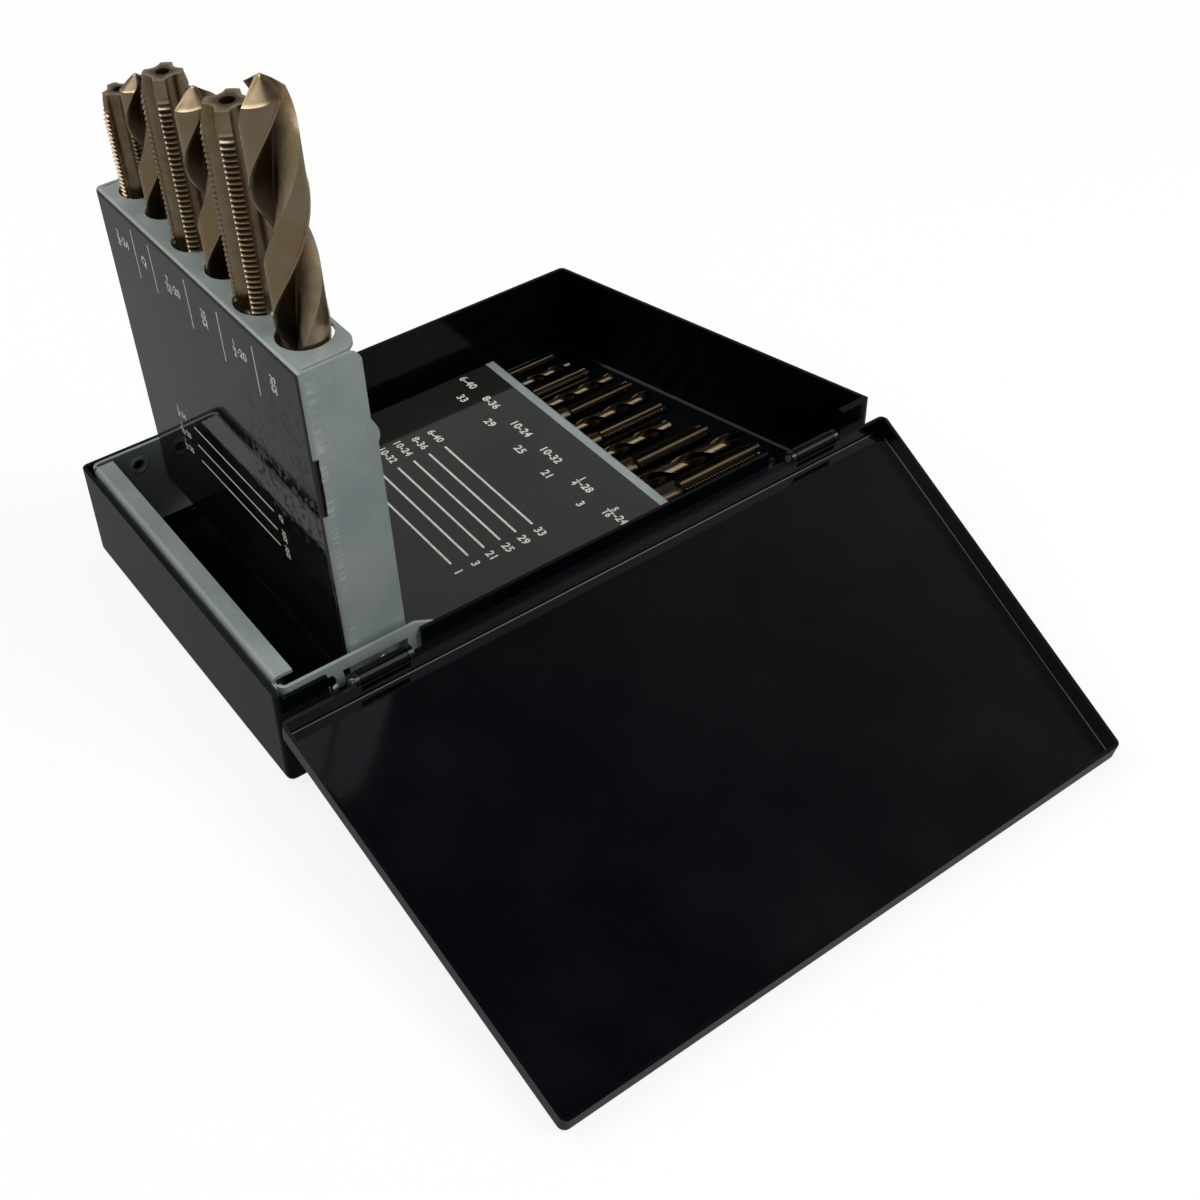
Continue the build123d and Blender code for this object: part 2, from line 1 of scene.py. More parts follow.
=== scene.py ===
# %% [markdown]
# # A folding case of drills and taps
# The case is pressed from thin sheet: a box with one slanted end, a lid on two rolled
# hinges, and two folded panels that hold the bits. The solids come from the packed
# model, so this lesson keeps their places and adds what makes them look real: enamel,
# printing, threads, ground flutes. The camera comes first, then the paints, the bits
# and the print, and last the room and its light.

# %% Load the solids
import json
import math
import bmesh
import bpy
import numpy as np
from mathutils import Matrix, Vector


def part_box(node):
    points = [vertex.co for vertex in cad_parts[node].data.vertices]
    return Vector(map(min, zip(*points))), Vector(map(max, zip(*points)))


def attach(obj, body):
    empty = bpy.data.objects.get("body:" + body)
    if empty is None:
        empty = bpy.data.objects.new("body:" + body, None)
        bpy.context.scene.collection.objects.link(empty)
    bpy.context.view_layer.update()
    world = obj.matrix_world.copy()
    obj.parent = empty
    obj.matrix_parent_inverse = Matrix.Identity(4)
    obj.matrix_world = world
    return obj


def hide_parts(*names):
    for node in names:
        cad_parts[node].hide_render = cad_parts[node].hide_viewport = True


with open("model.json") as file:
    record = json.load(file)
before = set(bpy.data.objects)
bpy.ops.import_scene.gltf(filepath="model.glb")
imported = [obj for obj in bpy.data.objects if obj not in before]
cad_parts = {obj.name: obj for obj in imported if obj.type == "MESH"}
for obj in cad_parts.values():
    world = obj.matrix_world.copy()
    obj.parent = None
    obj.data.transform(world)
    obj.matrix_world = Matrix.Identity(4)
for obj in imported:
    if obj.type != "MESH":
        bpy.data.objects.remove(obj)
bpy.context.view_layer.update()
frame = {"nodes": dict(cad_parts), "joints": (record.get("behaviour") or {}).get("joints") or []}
mm = 0.001
joints = {j["name"]: j for j in frame["joints"]}

# %% [markdown]
# ## The case's own directions
# Most numbers about the case are easier along its own lines: x along the hinge, y from
# the hinge wall to the back wall, z up. The row has its middle under the case's middle,
# so half the length and half the depth turn one into the other. The large panel leans
# back by a degree and a half, so its printed face gets its own three directions, read
# from the slide of one of its bits, and what is printed on it is placed along them.

# %% Directions of the two panels
up = np.array(joints["drill_q_slide"]["axis"], float)
up /= np.linalg.norm(up)
back = np.array([up[2], 0.0, -up[0]])
across = np.array([0.0, -1.0, 0.0])
to_right = np.array([1.0, 0.0, 0.0])
half_length, half_depth = 83.625, 52.0


def points_of(node):
    """Every corner of a solid of the model, as rows of x, y, z in metres."""
    mesh = frame["nodes"][node].data
    co = np.empty(len(mesh.vertices) * 3, np.float32)
    mesh.vertices.foreach_get("co", co)
    return co.reshape(-1, 3).astype(float)


large = points_of("large_bit_panel")
face_depth = (large @ back).min()
face_top = (large @ up).max()
small_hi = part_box("small_bit_panel")[1]
print("large face at", face_depth / mm, "mm, top", face_top / mm, "mm")


def on_large(y, down, behind=0.0):
    """Millimetres on the large face (y, below its top, behind it) to metres in the row:
    the face's corner, plus each distance along its own direction."""
    y, down, behind = (np.asarray(v, float)[..., None] * mm for v in (y, down, behind))
    return back * (face_depth + behind) + up * (face_top - down) + [0, 1, 0] * y


def on_small(x, y, above=0.0):
    """Millimetres on the small panel's face (x, y, above it) to metres in the row."""
    x, y, above = (np.asarray(v, float) * mm for v in (x, y, above))
    return np.stack(np.broadcast_arrays(x, y, small_hi.z + above), -1)


# %% [markdown]
# ## The camera
# A camera is a place, a direction and a lens. This one stands above the case's square
# end and has a lens a little longer than normal, so the near corner of the lid looks
# large. Its three axes are written as rows: right, down and forward. The focal length
# and the middle of the view are in pixels, and the shift moves the view to that middle.

# %% Place the camera
look = np.array([
    [0.813545, -0.580475, -0.034540],
    [-0.390055, -0.500686, -0.772768],
    [0.431279, 0.642154, -0.633748],
])
place = (-0.18074, -0.30234, 0.29946)
image_side = 1200
focal = 1704.17
centre = (533.9, 489.95)
sensor = 36
camera_data = bpy.data.cameras.new("camera")
camera_data.sensor_width = sensor
camera_data.lens = focal / image_side * sensor
camera_data.shift_x = (image_side / 2 - centre[0]) / image_side
camera_data.shift_y = (centre[1] - image_side / 2) / image_side
camera_data.clip_start = 0.01
camera = bpy.data.objects.new("camera", camera_data)
bpy.context.scene.collection.objects.link(camera)
pose = np.eye(4)
pose[:3, :3] = np.stack([look[0], -look[1], -look[2]], axis=1)
pose[:3, 3] = place
camera.matrix_world = Matrix(pose)
bpy.context.scene.camera = camera
print("lens", round(camera_data.lens, 1), "mm")

# %% [markdown]
# ## Shader maths as plain expressions
# Blender's materials are graphs of nodes. Clicking them together hides the idea, so
# here a small class wraps the output of a node, and + - * on it add Math nodes. A mask
# is then written as it would be on paper. Any other node comes from one method.

# %% A wrapper for sockets


class Wire:
    """The output of a node, with arithmetic that adds Math nodes."""

    def __init__(self, tree, socket):
        self.tree, self.socket = tree, socket

    def node(self, kind, settings=None, inputs=None, output=0):
        """Adds a node: settings first, then a value or a wire for each named socket."""
        made = self.tree.nodes.new(kind)
        for key, value in (settings or {}).items():
            setattr(made, key, value)
        for key, value in (inputs or {}).items():
            socket = made.inputs[key]
            if isinstance(value, Wire):
                self.tree.links.new(value.socket, socket)
            else:
                socket.default_value = value
        return Wire(self.tree, made.outputs[output])

    def math(self, operation, *values):
        return self.node("ShaderNodeMath", {"operation": operation},
                         dict(enumerate(values)))

    def __add__(self, other): return self.math("ADD", self, other)
    def __radd__(self, other): return self.math("ADD", other, self)
    def __sub__(self, other): return self.math("SUBTRACT", self, other)
    def __rsub__(self, other): return self.math("SUBTRACT", other, self)
    def __mul__(self, other): return self.math("MULTIPLY", self, other)
    def __rmul__(self, other): return self.math("MULTIPLY", other, self)
    def high(self, other): return self.math("MAXIMUM", self, other)

    def step(self, start, end):
        """0 before start, 1 after end, and a smooth ramp between them."""
        return self.node("ShaderNodeMapRange", {"interpolation_type": "SMOOTHSTEP"},
                         {"Value": self, "From Min": start, "From Max": end})

    def mix(self, zero, one):
        """A colour: zero where this wire is 0, one where it is 1."""
        return self.node("ShaderNodeMix", {"data_type": "RGBA"},
                         {0: self, 6: zero, 7: one}, output=2)


print("wrapper ready")

# %% [markdown]
# ## A finish
# A finish is a material with one Principled shader. Its patterns are read at Object
# coordinates, in metres, so a size in millimetres means the same on every piece. What
# varies is linked as a wire, and a constant stays a number on the shader's own socket.

# %% A class for finishes
object_coordinates = 3


def colour(*values):
    """Linear red, green, blue, with the alpha that sockets want."""
    return (*values, 1.0)


class Finish:
    """A material with one Principled shader and the places its patterns are read at."""

    def __init__(self, name, **constants):
        self.material = bpy.data.materials.new(name)
        self.material.use_nodes = True
        self.tree = self.material.node_tree
        self.shader = self.tree.nodes["Principled BSDF"]
        for key, value in constants.items():
            self.shader.inputs[key.replace("_", " ")].default_value = value
        self.wire = Wire(self.tree, None)
        self.place = self.wire.node("ShaderNodeTexCoord", output=object_coordinates)

    def set(self, **wires):
        """Links wires, or sets numbers, on the shader's own sockets."""
        for key, value in wires.items():
            socket = self.shader.inputs[key.replace("_", " ")]
            if isinstance(value, Wire):
                self.tree.links.new(value.socket, socket)
            else:
                socket.default_value = value
        return self

    def along(self, direction):
        """Distance of the point along a direction, in millimetres."""
        direction = tuple(float(v) / mm for v in direction)
        return self.wire.node("ShaderNodeVectorMath", {"operation": "DOT_PRODUCT"},
                              {0: self.place, 1: direction}, output=1)

    def noise(self, size, detail=2.0, stretch=(1, 1, 1)):
        """Cloudy noise between 0 and 1 whose blotches are about size millimetres."""
        place = self.wire.node("ShaderNodeMapping", {}, {
            "Vector": self.place, "Scale": tuple(s / (size * mm) for s in stretch)})
        return self.wire.node("ShaderNodeTexNoise", {}, {
            "Vector": place, "Scale": 1.0, "Detail": detail})

    def attribute(self, name):
        """A number that the mesh carries at each of its corners."""
        return self.wire.node("ShaderNodeAttribute", {"attribute_name": name}, output=2)

    def bump(self, height, depth, strength=1.0):
        """Bends the normal by a height between 0 and 1 that stands for depth in mm."""
        normal = self.wire.node("ShaderNodeBump", {}, {
            "Height": height, "Distance": depth * mm, "Strength": strength})
        return self.set(Normal=normal)


print("finishes read Object coordinates")

# %% [markdown]
# ## Black enamel
# The box and the lid are sprayed black and baked. Such enamel is a deep, nearly flat
# black under a clear gloss. Three things give it away as paint: a very fine orange
# peel that makes reflections tremble, a faint cloudiness in the gloss where it was
# handled, and thin fine dust. All three are noise at different sizes.

# %% Enamel for the case and the lid


def black_enamel(name, peel_size, gloss, shine):
    """Black gloss paint: noise of two sizes moves its roughness and its normal."""
    paint = Finish(name, Specular_IOR_Level=shine)
    handled = paint.noise(26, 3).step(0.35, 0.75)
    dust = paint.noise(0.9, 1).step(0.66, 0.8)
    paint.set(
        Base_Color=(0.6 * handled + 0.4 * dust).mix(
            colour(0.0009, 0.0014, 0.0022), colour(0.0026, 0.0032, 0.0042)),
        Roughness=gloss + 0.05 * handled + 0.05 * dust,
    )
    return paint.bump(paint.noise(peel_size, 2), 0.012, 0.35)


case_enamel = black_enamel("case_enamel", 1.8, 0.13, 0.12)
lid_enamel = black_enamel("lid_enamel", 2.6, 0.11, 0.30)
print("enamel:", case_enamel.material.name, lid_enamel.material.name)

# %% [markdown]
# ## Pale satin paint
# The bracket and the panels are painted a pale blue-grey before they are folded. The
# satin is softer than the enamel, and it shows small rubs where bits and fingers slide:
# short bright scratches and slightly darker, polished patches.

# %% Satin paint for the bracket


def satin_grey(name, shine=0.42):
    """Blue-grey satin: a base colour that drifts, with fine rubs across the sheet."""
    paint = Finish(name, Specular_IOR_Level=shine)
    drift = paint.noise(14, 3)
    rubs = paint.noise(0.5, 2, (1, 0.06, 1)).step(0.62, 0.78)
    mottle = paint.noise(0.45, 2)
    tone = drift.step(0.3, 0.7).mix(
        colour(0.176, 0.214, 0.212), colour(0.216, 0.252, 0.246))
    paint.tone = (0.22 * mottle.step(0.45, 0.75) + 0.40 * rubs).mix(
        tone, colour(0.40, 0.42, 0.40))
    paint.satin = 0.30 + 0.14 * drift + 0.10 * mottle - 0.08 * rubs
    paint.set(Base_Color=paint.tone, Roughness=paint.satin)
    return paint.bump(paint.noise(0.7, 2), 0.01, 0.3)


bracket_paint = satin_grey("bracket_paint")
print("satin paint:", bracket_paint.material.name)

# %% [markdown]
# ## The printed faces
# Each panel is the same satin grey with a block of glossy black printed over its face.
# The print stops at the folds, so one material does both: a mask is 1 on the face and 0
# elsewhere, and it mixes the colour and the roughness. The mask reads how far a point
# lies behind the face. On the large panel the black also wraps a little round the near
# cheek over a worn stretch, which is one more mask.

# %% Paint for the two panels


def printed_panel(name, mask_of, scuffed, marks_of=None):
    """Satin grey, with glossy black ink where mask_of(paint) is 1. scuffed, from 0 to
    1, says how clouded the gloss is, with a worn patch near one edge, and marks_of says
    where the satin gets pale ticks."""
    paint = satin_grey(name, 0.75)
    ink = mask_of(paint)
    tone = paint.tone
    if marks_of:
        tone = (0.38 * marks_of(paint)).mix(tone, colour(0.42, 0.45, 0.43))
    cloud = paint.noise(30, 2).step(0.3, 0.8)
    spots = paint.noise(2.2, 3).step(0.50, 0.62)
    worn = spots * paint.along(across).step(12, 20) * paint.along(up).step(52, 60)
    black = ((0.5 + 0.5 * scuffed) * cloud).mix(
        colour(0.0032, 0.0033, 0.0030), colour(0.0085, 0.0087, 0.0078))
    gloss = 0.075 - scuffed * (0.035 - 0.22 * worn)
    paint.set(
        Base_Color=ink.mix(tone, black),
        Roughness=paint.satin + ink * (gloss - paint.satin),
    )
    return paint.bump(paint.noise(4.5, 2), 0.02 * scuffed + 0.008, 0.35)


def on_near_cheek(paint):
    """How far a point lies behind the large face, and 1 where it is on the cheek that
    is nearest the hinge."""
    return (paint.along(back) - face_depth / mm, paint.along(across).step(47.2, 47.4))


def large_ink(paint):
    """On the face, and round the near edge between two heights."""
    behind, near = on_near_cheek(paint)
    ragged = 0.5 * paint.noise(2.2, 2)
    down = face_top / mm - paint.along(up) + ragged
    on_face = 1 - behind.step(0.30, 0.42)
    worn = down.step(22.0, 22.6) * (1 - down.step(37.6, 38.2))
    wrap = worn * near * (1 - (behind + ragged).step(1.7, 1.9))
    return on_face.high(wrap)


def cheek_ticks(paint):
    """Short ticks across the near cheek, close behind its front edge."""
    behind, near = on_near_cheek(paint)
    # Pale ticks mixed into the satin's colour on the near cheek.
    ticks = paint.noise(0.55, 0, (0.1, 0.1, 1)).step(0.54, 0.60)
    band = behind.step(1.4, 1.6) * (1 - behind.step(3.0, 3.4))
    stretches = paint.noise(16, 1).step(0.38, 0.50)
    return near * band * ticks * stretches


stripe_width = 3.3


def small_ink(paint):
    """On the top face, up to the pale stripe along the end that the bits leave by."""
    top, stripe = small_hi.z / mm, small_hi.x / mm - stripe_width
    high = paint.along((0, 0, 1)).step(top - 0.42, top - 0.3)
    left = 1 - paint.along(to_right).step(stripe - 0.05, stripe + 0.05)
    return high * left


large_paint = printed_panel("large_panel_paint", large_ink, 1.0, cheek_ticks)
small_paint = printed_panel("small_panel_paint", small_ink, 0.3)
print("printed panels:", large_paint.material.name, small_paint.material.name)

# %% [markdown]
# ## Straw-coloured steel
# Cobalt bits are tempered to a straw oxide, and the ground margins and points shine
# through it. Down in the flutes and thread roots the colour is darkened as painted shade.
# Each bit's mesh will carry two numbers at every corner, how deep it lies and how freshly
# it is ground, so one recipe serves all eighteen. The small bits are the same steel,
# with painted shade over their whole colour, for they lie low in the case.

# %% Steel for bits, pins and studs


def straw_steel(name, tone):
    """Metal whose colour goes from painted shade, at depth 1, to bright straw at depth 0.
    tone scales the whole colour, and below 1 it is painted shade."""
    steel = Finish(name, Metallic=1.0)
    depth = steel.attribute("depth")
    ground = steel.attribute("ground")
    blotch = steel.noise(2.4, 3)
    warm = steel.noise(7, 2).step(0.42, 0.62)
    grain = steel.noise(0.25, 1)
    light = warm.mix(colour(0.43 * tone, 0.34 * tone, 0.225 * tone),
                     colour(0.41 * tone, 0.295 * tone, 0.16 * tone))
    # Where depth is high the straw is mixed to near black: painted shade in the hollows.
    body = (depth + 0.45 * (blotch - 0.5)).step(0.0, 0.9).mix(
        light, colour(0.080 * tone, 0.054 * tone, 0.032 * tone))
    return steel.set(
        Base_Color=(ground * (0.75 + 0.25 * blotch)).mix(
            body, colour(0.50 * tone, 0.41 * tone, 0.28 * tone)),
        Roughness=0.21 + 0.08 * grain + 0.10 * depth,
    ).bump(grain, 0.004, 0.2)


bit_steel = straw_steel("bit_steel", 1.0)
# The small bits get the same steel with a low tone: painted shade over the whole bit.
small_drill_steel = straw_steel("small_drill_steel", 0.17)
small_tap_steel = straw_steel("small_tap_steel", 0.11)
bright = Finish("bright_steel", Metallic=1.0)
bright.set(
    Base_Color=bright.noise(1.2, 2).mix(
        colour(0.50, 0.50, 0.49), colour(0.66, 0.66, 0.64)),
    Roughness=0.22 + 0.16 * bright.noise(0.5, 2),
)
ink_white = Finish("white_print", Specular_IOR_Level=0.3)
ink_white.set(
    Base_Color=ink_white.noise(0.8, 2).step(0.25, 0.75).mix(
        colour(0.42, 0.42, 0.37), colour(0.56, 0.56, 0.50)),
    Roughness=0.45 + 0.1 * ink_white.noise(2, 1),
)
print("metals and print ready")

# %% [markdown]
# ## Dress the solids whose shape is already right
# The sheet parts need no new geometry: they keep their solids and get these paints.

# %% Give the sheet parts their paint
paint_of = {
    "base_box": case_enamel, "lid": lid_enamel, "end_bracket": bracket_paint,
    "large_bit_panel": large_paint, "large_tap_shelf": bracket_paint,
    "small_bit_panel": small_paint, "small_tap_stop": bracket_paint,
    "small_drill_stop": bracket_paint,
    "hinge_pin_left": bright, "hinge_pin_right": bright,
}
for node, paint in paint_of.items():
    slots = frame["nodes"][node].data.materials
    slots.clear()
    slots.append(paint.material)
print("painted", len(paint_of), "solids")

# %% [markdown]
# ## Meshes from grids
# Every new piece is a grid of points: rows along the piece, columns round it. A closed
# grid joins its last column to its first. Two caps close its ends, and each is a fan
# from one middle point. The corners and faces are whole arrays, with no loop. A bit is
# drawn standing on its butt and then laid along its own axis, which is read from the
# solid that it replaces.

# %% Grid meshes


def grid_faces(rows, columns):
    """Four-sided faces of a grid that closes round its columns."""
    i, j = np.meshgrid(np.arange(rows - 1), np.arange(columns), indexing="ij")
    k = (j + 1) % columns
    low, high = i * columns, (i + 1) * columns
    return np.stack([low + j, low + k, high + k, high + j], -1).reshape(-1, 4)


def fan(ring, middle, outward):
    """Three-sided faces from a ring of corners to one middle corner."""
    after = np.roll(ring, -1)
    sides = (ring, after) if outward else (after, ring)
    return np.stack([*sides, np.full(len(ring), middle)], -1)


def put_mesh(name, points, faces, paint, sharp=35.0, numbers=None):
    """Makes an object from corners, a list of face arrays, and numbers per corner."""
    mesh = bpy.data.meshes.new(name)
    mesh.vertices.add(len(points))
    mesh.vertices.foreach_set("co", np.asarray(points, np.float32).ravel())
    corners = np.concatenate([f.ravel() for f in faces])
    sizes = np.concatenate([np.full(len(f), f.shape[1]) for f in faces])
    mesh.loops.add(len(corners))
    mesh.loops.foreach_set("vertex_index", corners.astype(np.int32))
    mesh.polygons.add(len(sizes))
    starts = np.concatenate([[0], np.cumsum(sizes)[:-1]])
    mesh.polygons.foreach_set("loop_start", starts.astype(np.int32))
    mesh.update(calc_edges=True)
    mesh.validate()
    mesh.shade_smooth()
    mesh.set_sharp_from_angle(angle=math.radians(sharp))
    for key, values in (numbers or {}).items():
        layer = mesh.attributes.new(key, "FLOAT", "POINT")
        layer.data.foreach_set("value", np.asarray(values, np.float32).ravel())
    mesh.materials.append(paint.material)
    piece = bpy.data.objects.new(name, mesh)
    bpy.context.scene.collection.objects.link(piece)
    return piece


def stand(local, butt, direction, sideways):
    """Turns points drawn along z to lie along direction from butt."""
    third = np.cross(direction, sideways)
    basis = np.stack([sideways, third, direction])
    return local @ basis + butt


def axis_of(node, direction, sideways):
    """Where a bit's axis starts and how long it is: its lowest point along direction,
    midway between its extremes the other two ways."""
    co = points_of(node)
    third = np.cross(direction, sideways)
    middle = [(co @ d).min() / 2 + (co @ d).max() / 2 for d in (sideways, third)]
    start, end = (co @ direction).min(), (co @ direction).max()
    return sideways * middle[0] + third * middle[1] + direction * start, end - start


def finish_bit(name, ending, place, surface, tip, depth, ground, steel, sharp):
    """Makes a bit from its surface (r, turn, z), which stands for the corners
    (r cos turn, r sin turn, z). A fan closes the butt at height 0 and another the tip,
    and depth and ground hold each corner's numbers, then those of the two middles."""
    r, turn, z = surface
    grid = np.stack([r * np.cos(turn), r * np.sin(turn), z], -1)
    middles = np.array([[0, 0, 0], [0, 0, tip]])
    points = stand(np.concatenate([grid.reshape(-1, 3), middles]) * mm, *place)
    rows, columns = r.shape
    total = rows * columns
    first = np.arange(columns)
    faces = [grid_faces(rows, columns), fan(first, total, False),
             fan(total - columns + first, total + 1, True)]
    piece = put_mesh(name + ending, points, faces, steel, sharp,
                     {"depth": depth, "ground": ground})
    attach(piece, name)
    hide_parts(name)
    print(piece.name, "rows", rows, "columns", columns, "tip", round(float(tip), 1))
    return piece


print("grid tools ready")

# %% [markdown]
# ## Twist drills
# A twist drill is one cross-section turned as it climbs. Across, each half has a land,
# a slightly raised margin on its leading edge, and a hollow flute: steep at the cutting
# face, gentle at the heel. The section could be a swept curve, but as a function of the
# angle it also gives the depth for the painted shade and the exact ridge of the point.

# %% The drill's section
half_turn = math.pi
land_end = math.radians(78)
margin = math.radians(6)
land_share = 0.965
web = 0.20
bottom = 0.30


def drill_section():
    """Angles round the drill, the radius at each as a share of the drill's radius, and
    how much painted shade darkens it, most in the flute and least at its heel. In each half
    turn the share is 0.965 on the land, 1 on its margin, then 0.2 + 0.8 * f(t) in the flute,
    where f falls as a power of the distance from the cutting face to the flute's bottom and
    climbs as another to the heel."""
    land = np.linspace(0, land_end - margin, 9)
    rim = np.array([land_end - margin + 0.012, land_end])
    flute = np.linspace(land_end, half_turn, 26)[1:-1]
    t = (flute - land_end) / (half_turn - land_end)
    cutting = np.clip(1 - t / bottom, 0, 1) ** 1.7
    heel = np.clip((t - bottom) / (1 - bottom), 0, 1)
    share = np.concatenate([
        np.full(len(land), land_share), np.ones(len(rim)),
        web + (1 - web) * (cutting + 0.955 * heel ** 2.8)])
    # Painted shade: none on the land, 1 in the flute, falling to 0.1 at the heel.
    flute_shade = np.concatenate([np.zeros(len(land) + len(rim)), 1 - 0.9 * heel ** 2])
    angle = np.concatenate([land, rim, flute])
    return (np.concatenate([angle, angle + half_turn]), np.tile(share, 2),
            np.tile(flute_shade, 2))


print("corners round a drill:", len(drill_section()[0]))

# %% [markdown]
# The wall of the drill rises to meet a cone of 118 degrees, and the cone carries the
# same section inwards. Behind each lip the cone falls away, or the lip couldn't bite.
# Towards the shank the section fades into a circle over about a diameter. The shank has
# only a few rows, and they turn with the twist too, so the straight faces between them
# pinch its middle. This is a known fault, which shows when a drill is drawn out of its
# hole. A turn that stays still below the flutes would mend it.

# %% The drill's surface
helix = math.radians(31)
half_point = math.radians(59)
relief = math.radians(11)
shank_rows, cone_rows = 4, 6
shank_oxide, cone_oxide = 0.35, 0.62


def point_slope(angle):
    """How steeply the point falls at each angle: 1 / tan(59) on a lip, and more behind
    it, by the tangent of the relief times the turn since that lip."""
    within = angle % half_turn
    on_land = np.minimum((land_end - angle) % half_turn, land_end)
    heel = np.clip((within - land_end) / (half_turn - land_end) - bottom, 0, 1)
    behind_lip = np.where(within > land_end, land_end * heel / (1 - bottom), on_land)
    return 1 / math.tan(half_point) + math.tan(relief) * behind_lip


def twist_drill(name, size, flute, facing, lie, steel):
    """A drill: point P(z, a) = (r cos(a + k z), r sin(a + k z), z), with r the section
    at angle a and k the twist, so that a cutting edge ends at the angle facing. The
    point rises to z = L - r * slope. lie is the way it points and a way across it."""
    butt, length = axis_of(name, *lie)
    length /= mm
    radius, start = size / 2, length - flute
    angle, share, flute_shade = drill_section()
    slope = point_slope(angle)
    twist = 2 * math.tan(helix) / size
    rows = max(40, int(26 * flute * twist / half_turn))
    shank = [0, 0.4, start - 0.01]
    z = np.concatenate([shank, np.linspace(start, length, rows)])[:, None]
    fade = np.clip((z - start) / (0.9 * size), 0, 1)
    fade = fade * fade * (3 - 2 * fade)
    r = radius * (0.98 * (1 - fade) + share * fade)
    r[0] -= 0.35
    top = length - radius * share * slope
    z = np.where(z > start, start + (z - start) * (top - start) / flute, z)
    cone = radius * share * np.linspace(1, 0, cone_rows + 2)[1:-1, None]
    r = np.concatenate([r, cone])
    z = np.concatenate([z, length - cone * slope])
    turn = angle - land_end + math.radians(facing) + twist * (z - length)
    depth = np.full_like(r, shank_oxide)
    depth[shank_rows:] = flute_shade
    depth[-cone_rows:] = cone_oxide
    ground = np.zeros_like(r)
    ground[shank_rows:-cone_rows] = np.where(share > 0.99, 0.5, 0.0)
    ground[-cone_rows:] = 0.1
    return finish_bit(name, "_fluted", (butt, *lie), (r, turn, z), length,
                      np.append(depth, [0, 0]), np.append(ground, [0, 1]), steel, 38)


print("drills ready: a helix of", round(math.degrees(helix)), "degrees")

# %% [markdown]
# Each row below is a drill: its diameter, the length of its flutes, and the angle, in
# degrees, that one cutting edge faces at the tip. The large drills stand in the large
# panel, and the small ones lie with their points to the slanted end.

# %% Make the nine drills
upright, lying = (up, back), (to_right, across)
large_drills = {
    "drill_q": (8.43, 87, -104), "drill_25_64": (9.92, 95, -76.5),
    "drill_29_64": (11.51, 108, -59.5),
}
small_drills = {
    "drill_33": (2.87, 35, 20), "drill_29": (3.45, 41, 65),
    "drill_25": (3.80, 44, 110), "drill_21": (4.04, 54, 45),
    "drill_3": (5.41, 62, 130), "drill_i": (6.91, 72, 75),
}
for name, row in large_drills.items():
    twist_drill(name, *row, upright, bit_steel)
for name, row in small_drills.items():
    twist_drill(name, *row, lying, small_drill_steel)

# %% [markdown]
# ## Taps
# A tap is a screw with four grooves. The thread is a trapezoid repeated along the axis:
# four rows of corners a pitch give it exactly. The first threads are ground down to a
# taper, so that the tap starts in a drilled hole.

# %% The thread
inch = 25.4
thread_depth = 0.61
lead_share, lead_turns = 0.76, 5
phases = np.array([0, 0.25, 0.5625, 0.6875])


def thread_rows(length, neck, radius, pitch):
    """Height, radius and painted shade of each row of the thread, and 1 where it is a crest.
    Two rows of each pitch are at the root and two at the crest. The radius is the
    lesser of the trapezoid and the taper, and the painted shade is darkest at the root."""
    turns = int((length - neck) / pitch)
    z = (np.arange(turns)[:, None] + phases).ravel() * pitch
    z += length - turns * pitch
    crest = np.tile([0.0, 0.0, 1.0, 1.0], turns)
    taper = lead_share + (1 - lead_share) * (length - z) / (lead_turns * pitch)
    lead = radius * np.minimum(taper, 1)
    r = np.minimum(radius - thread_depth * pitch * (1 - crest), lead)
    return z, r, (lead - r) / (thread_depth * pitch), crest


print("a thread is", thread_depth, "of its pitch deep")

# %% [markdown]
# Each groove is a round cut, which leaves steep corners on the lands. Two columns of
# the grid share each corner, one that stops below the thread and one that carries all
# of it, so that the ends of the threads stay crisp.

# %% The grooves
quarter_turn = math.pi / 2
groove_reach = 1.02
groove_radius = 0.48
corner_reach = 0.86
uncut = 2.0


def groove(angle):
    """Radius of the round groove at an angle from its middle, as a share of the tap's:
    the near crossing of the ray with a circle, c cos a - sqrt(g^2 - c^2 sin^2 a)."""
    inside = groove_radius ** 2 - (groove_reach * np.sin(angle)) ** 2
    near = groove_reach * np.cos(angle) - np.sqrt(np.maximum(inside, 0))
    return np.where(inside > 0, near, uncut)


def tap_angles():
    """Angles round a tap, thirteen in each groove and eight on each land, the angle of
    a groove's edge, and how far out each corner may reach."""
    edge = math.acos((1 + groove_reach ** 2 - groove_radius ** 2) / (2 * groove_reach))
    cut = np.linspace(-edge, edge, 13)
    land = np.linspace(edge + 0.006, quarter_turn - edge - 0.006, 6)
    one = np.concatenate([cut, [edge + 0.003], land, [quarter_turn - edge - 0.003]])
    reach = np.full(len(one), uncut)
    reach[[len(cut), -1]] = corner_reach
    angle = np.concatenate([one + k * quarter_turn for k in range(4)])
    return angle, edge, np.tile(reach, 4)


def cut_grooves(r, z, start, size, angle, edge, reach):
    """The lesser of r and the grooves, which open over half a diameter from start."""
    radius = size / 2
    off = (angle + edge) % quarter_turn - edge
    cutter = radius * np.minimum(groove(off), reach)
    opened = np.clip((z - start) / (0.5 * size), 0, 1)
    cutter = cutter + (1 - opened) * (radius * 1.4 - cutter).clip(0)
    return np.minimum(r, cutter)


print("corners round a tap:", len(tap_angles()[0]))

# %% [markdown]
# The rows climb by a pitch in a turn, and fall back inside the last groove, where no
# thread is seen. The butt is a square for the wrench, and the tip has a centre hole.

# %% The tap's surface
square_end = 6.0
square_share = 0.38


